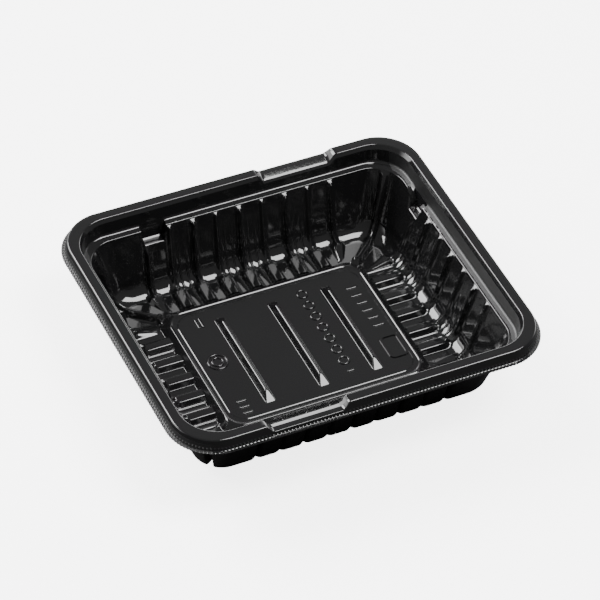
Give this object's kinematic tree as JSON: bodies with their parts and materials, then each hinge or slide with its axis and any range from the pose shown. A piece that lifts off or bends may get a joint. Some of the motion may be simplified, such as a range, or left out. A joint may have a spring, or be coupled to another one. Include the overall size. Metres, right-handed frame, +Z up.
{
  "type": "bento tray",
  "caption": "Empty rectangular bento tray of thin black plastic: flared rim with a lifting notch on each long side, ribbed sloping walls and a raised ribbed floor panel.",
  "frame": {"origin": "centre of the tray's outline, on the plane that the undersides of the pockets stand on", "axes": "+X along the long side, +Y along the short side, +Z up out of the open top"},
  "size_m": [0.1864, 0.1606, 0.0439],
  "materials": {
    "black_plastic": "gloss"
  },
  "bodies": {
    "root": {"tray": "black_plastic"}
  },
  "joints": []
}
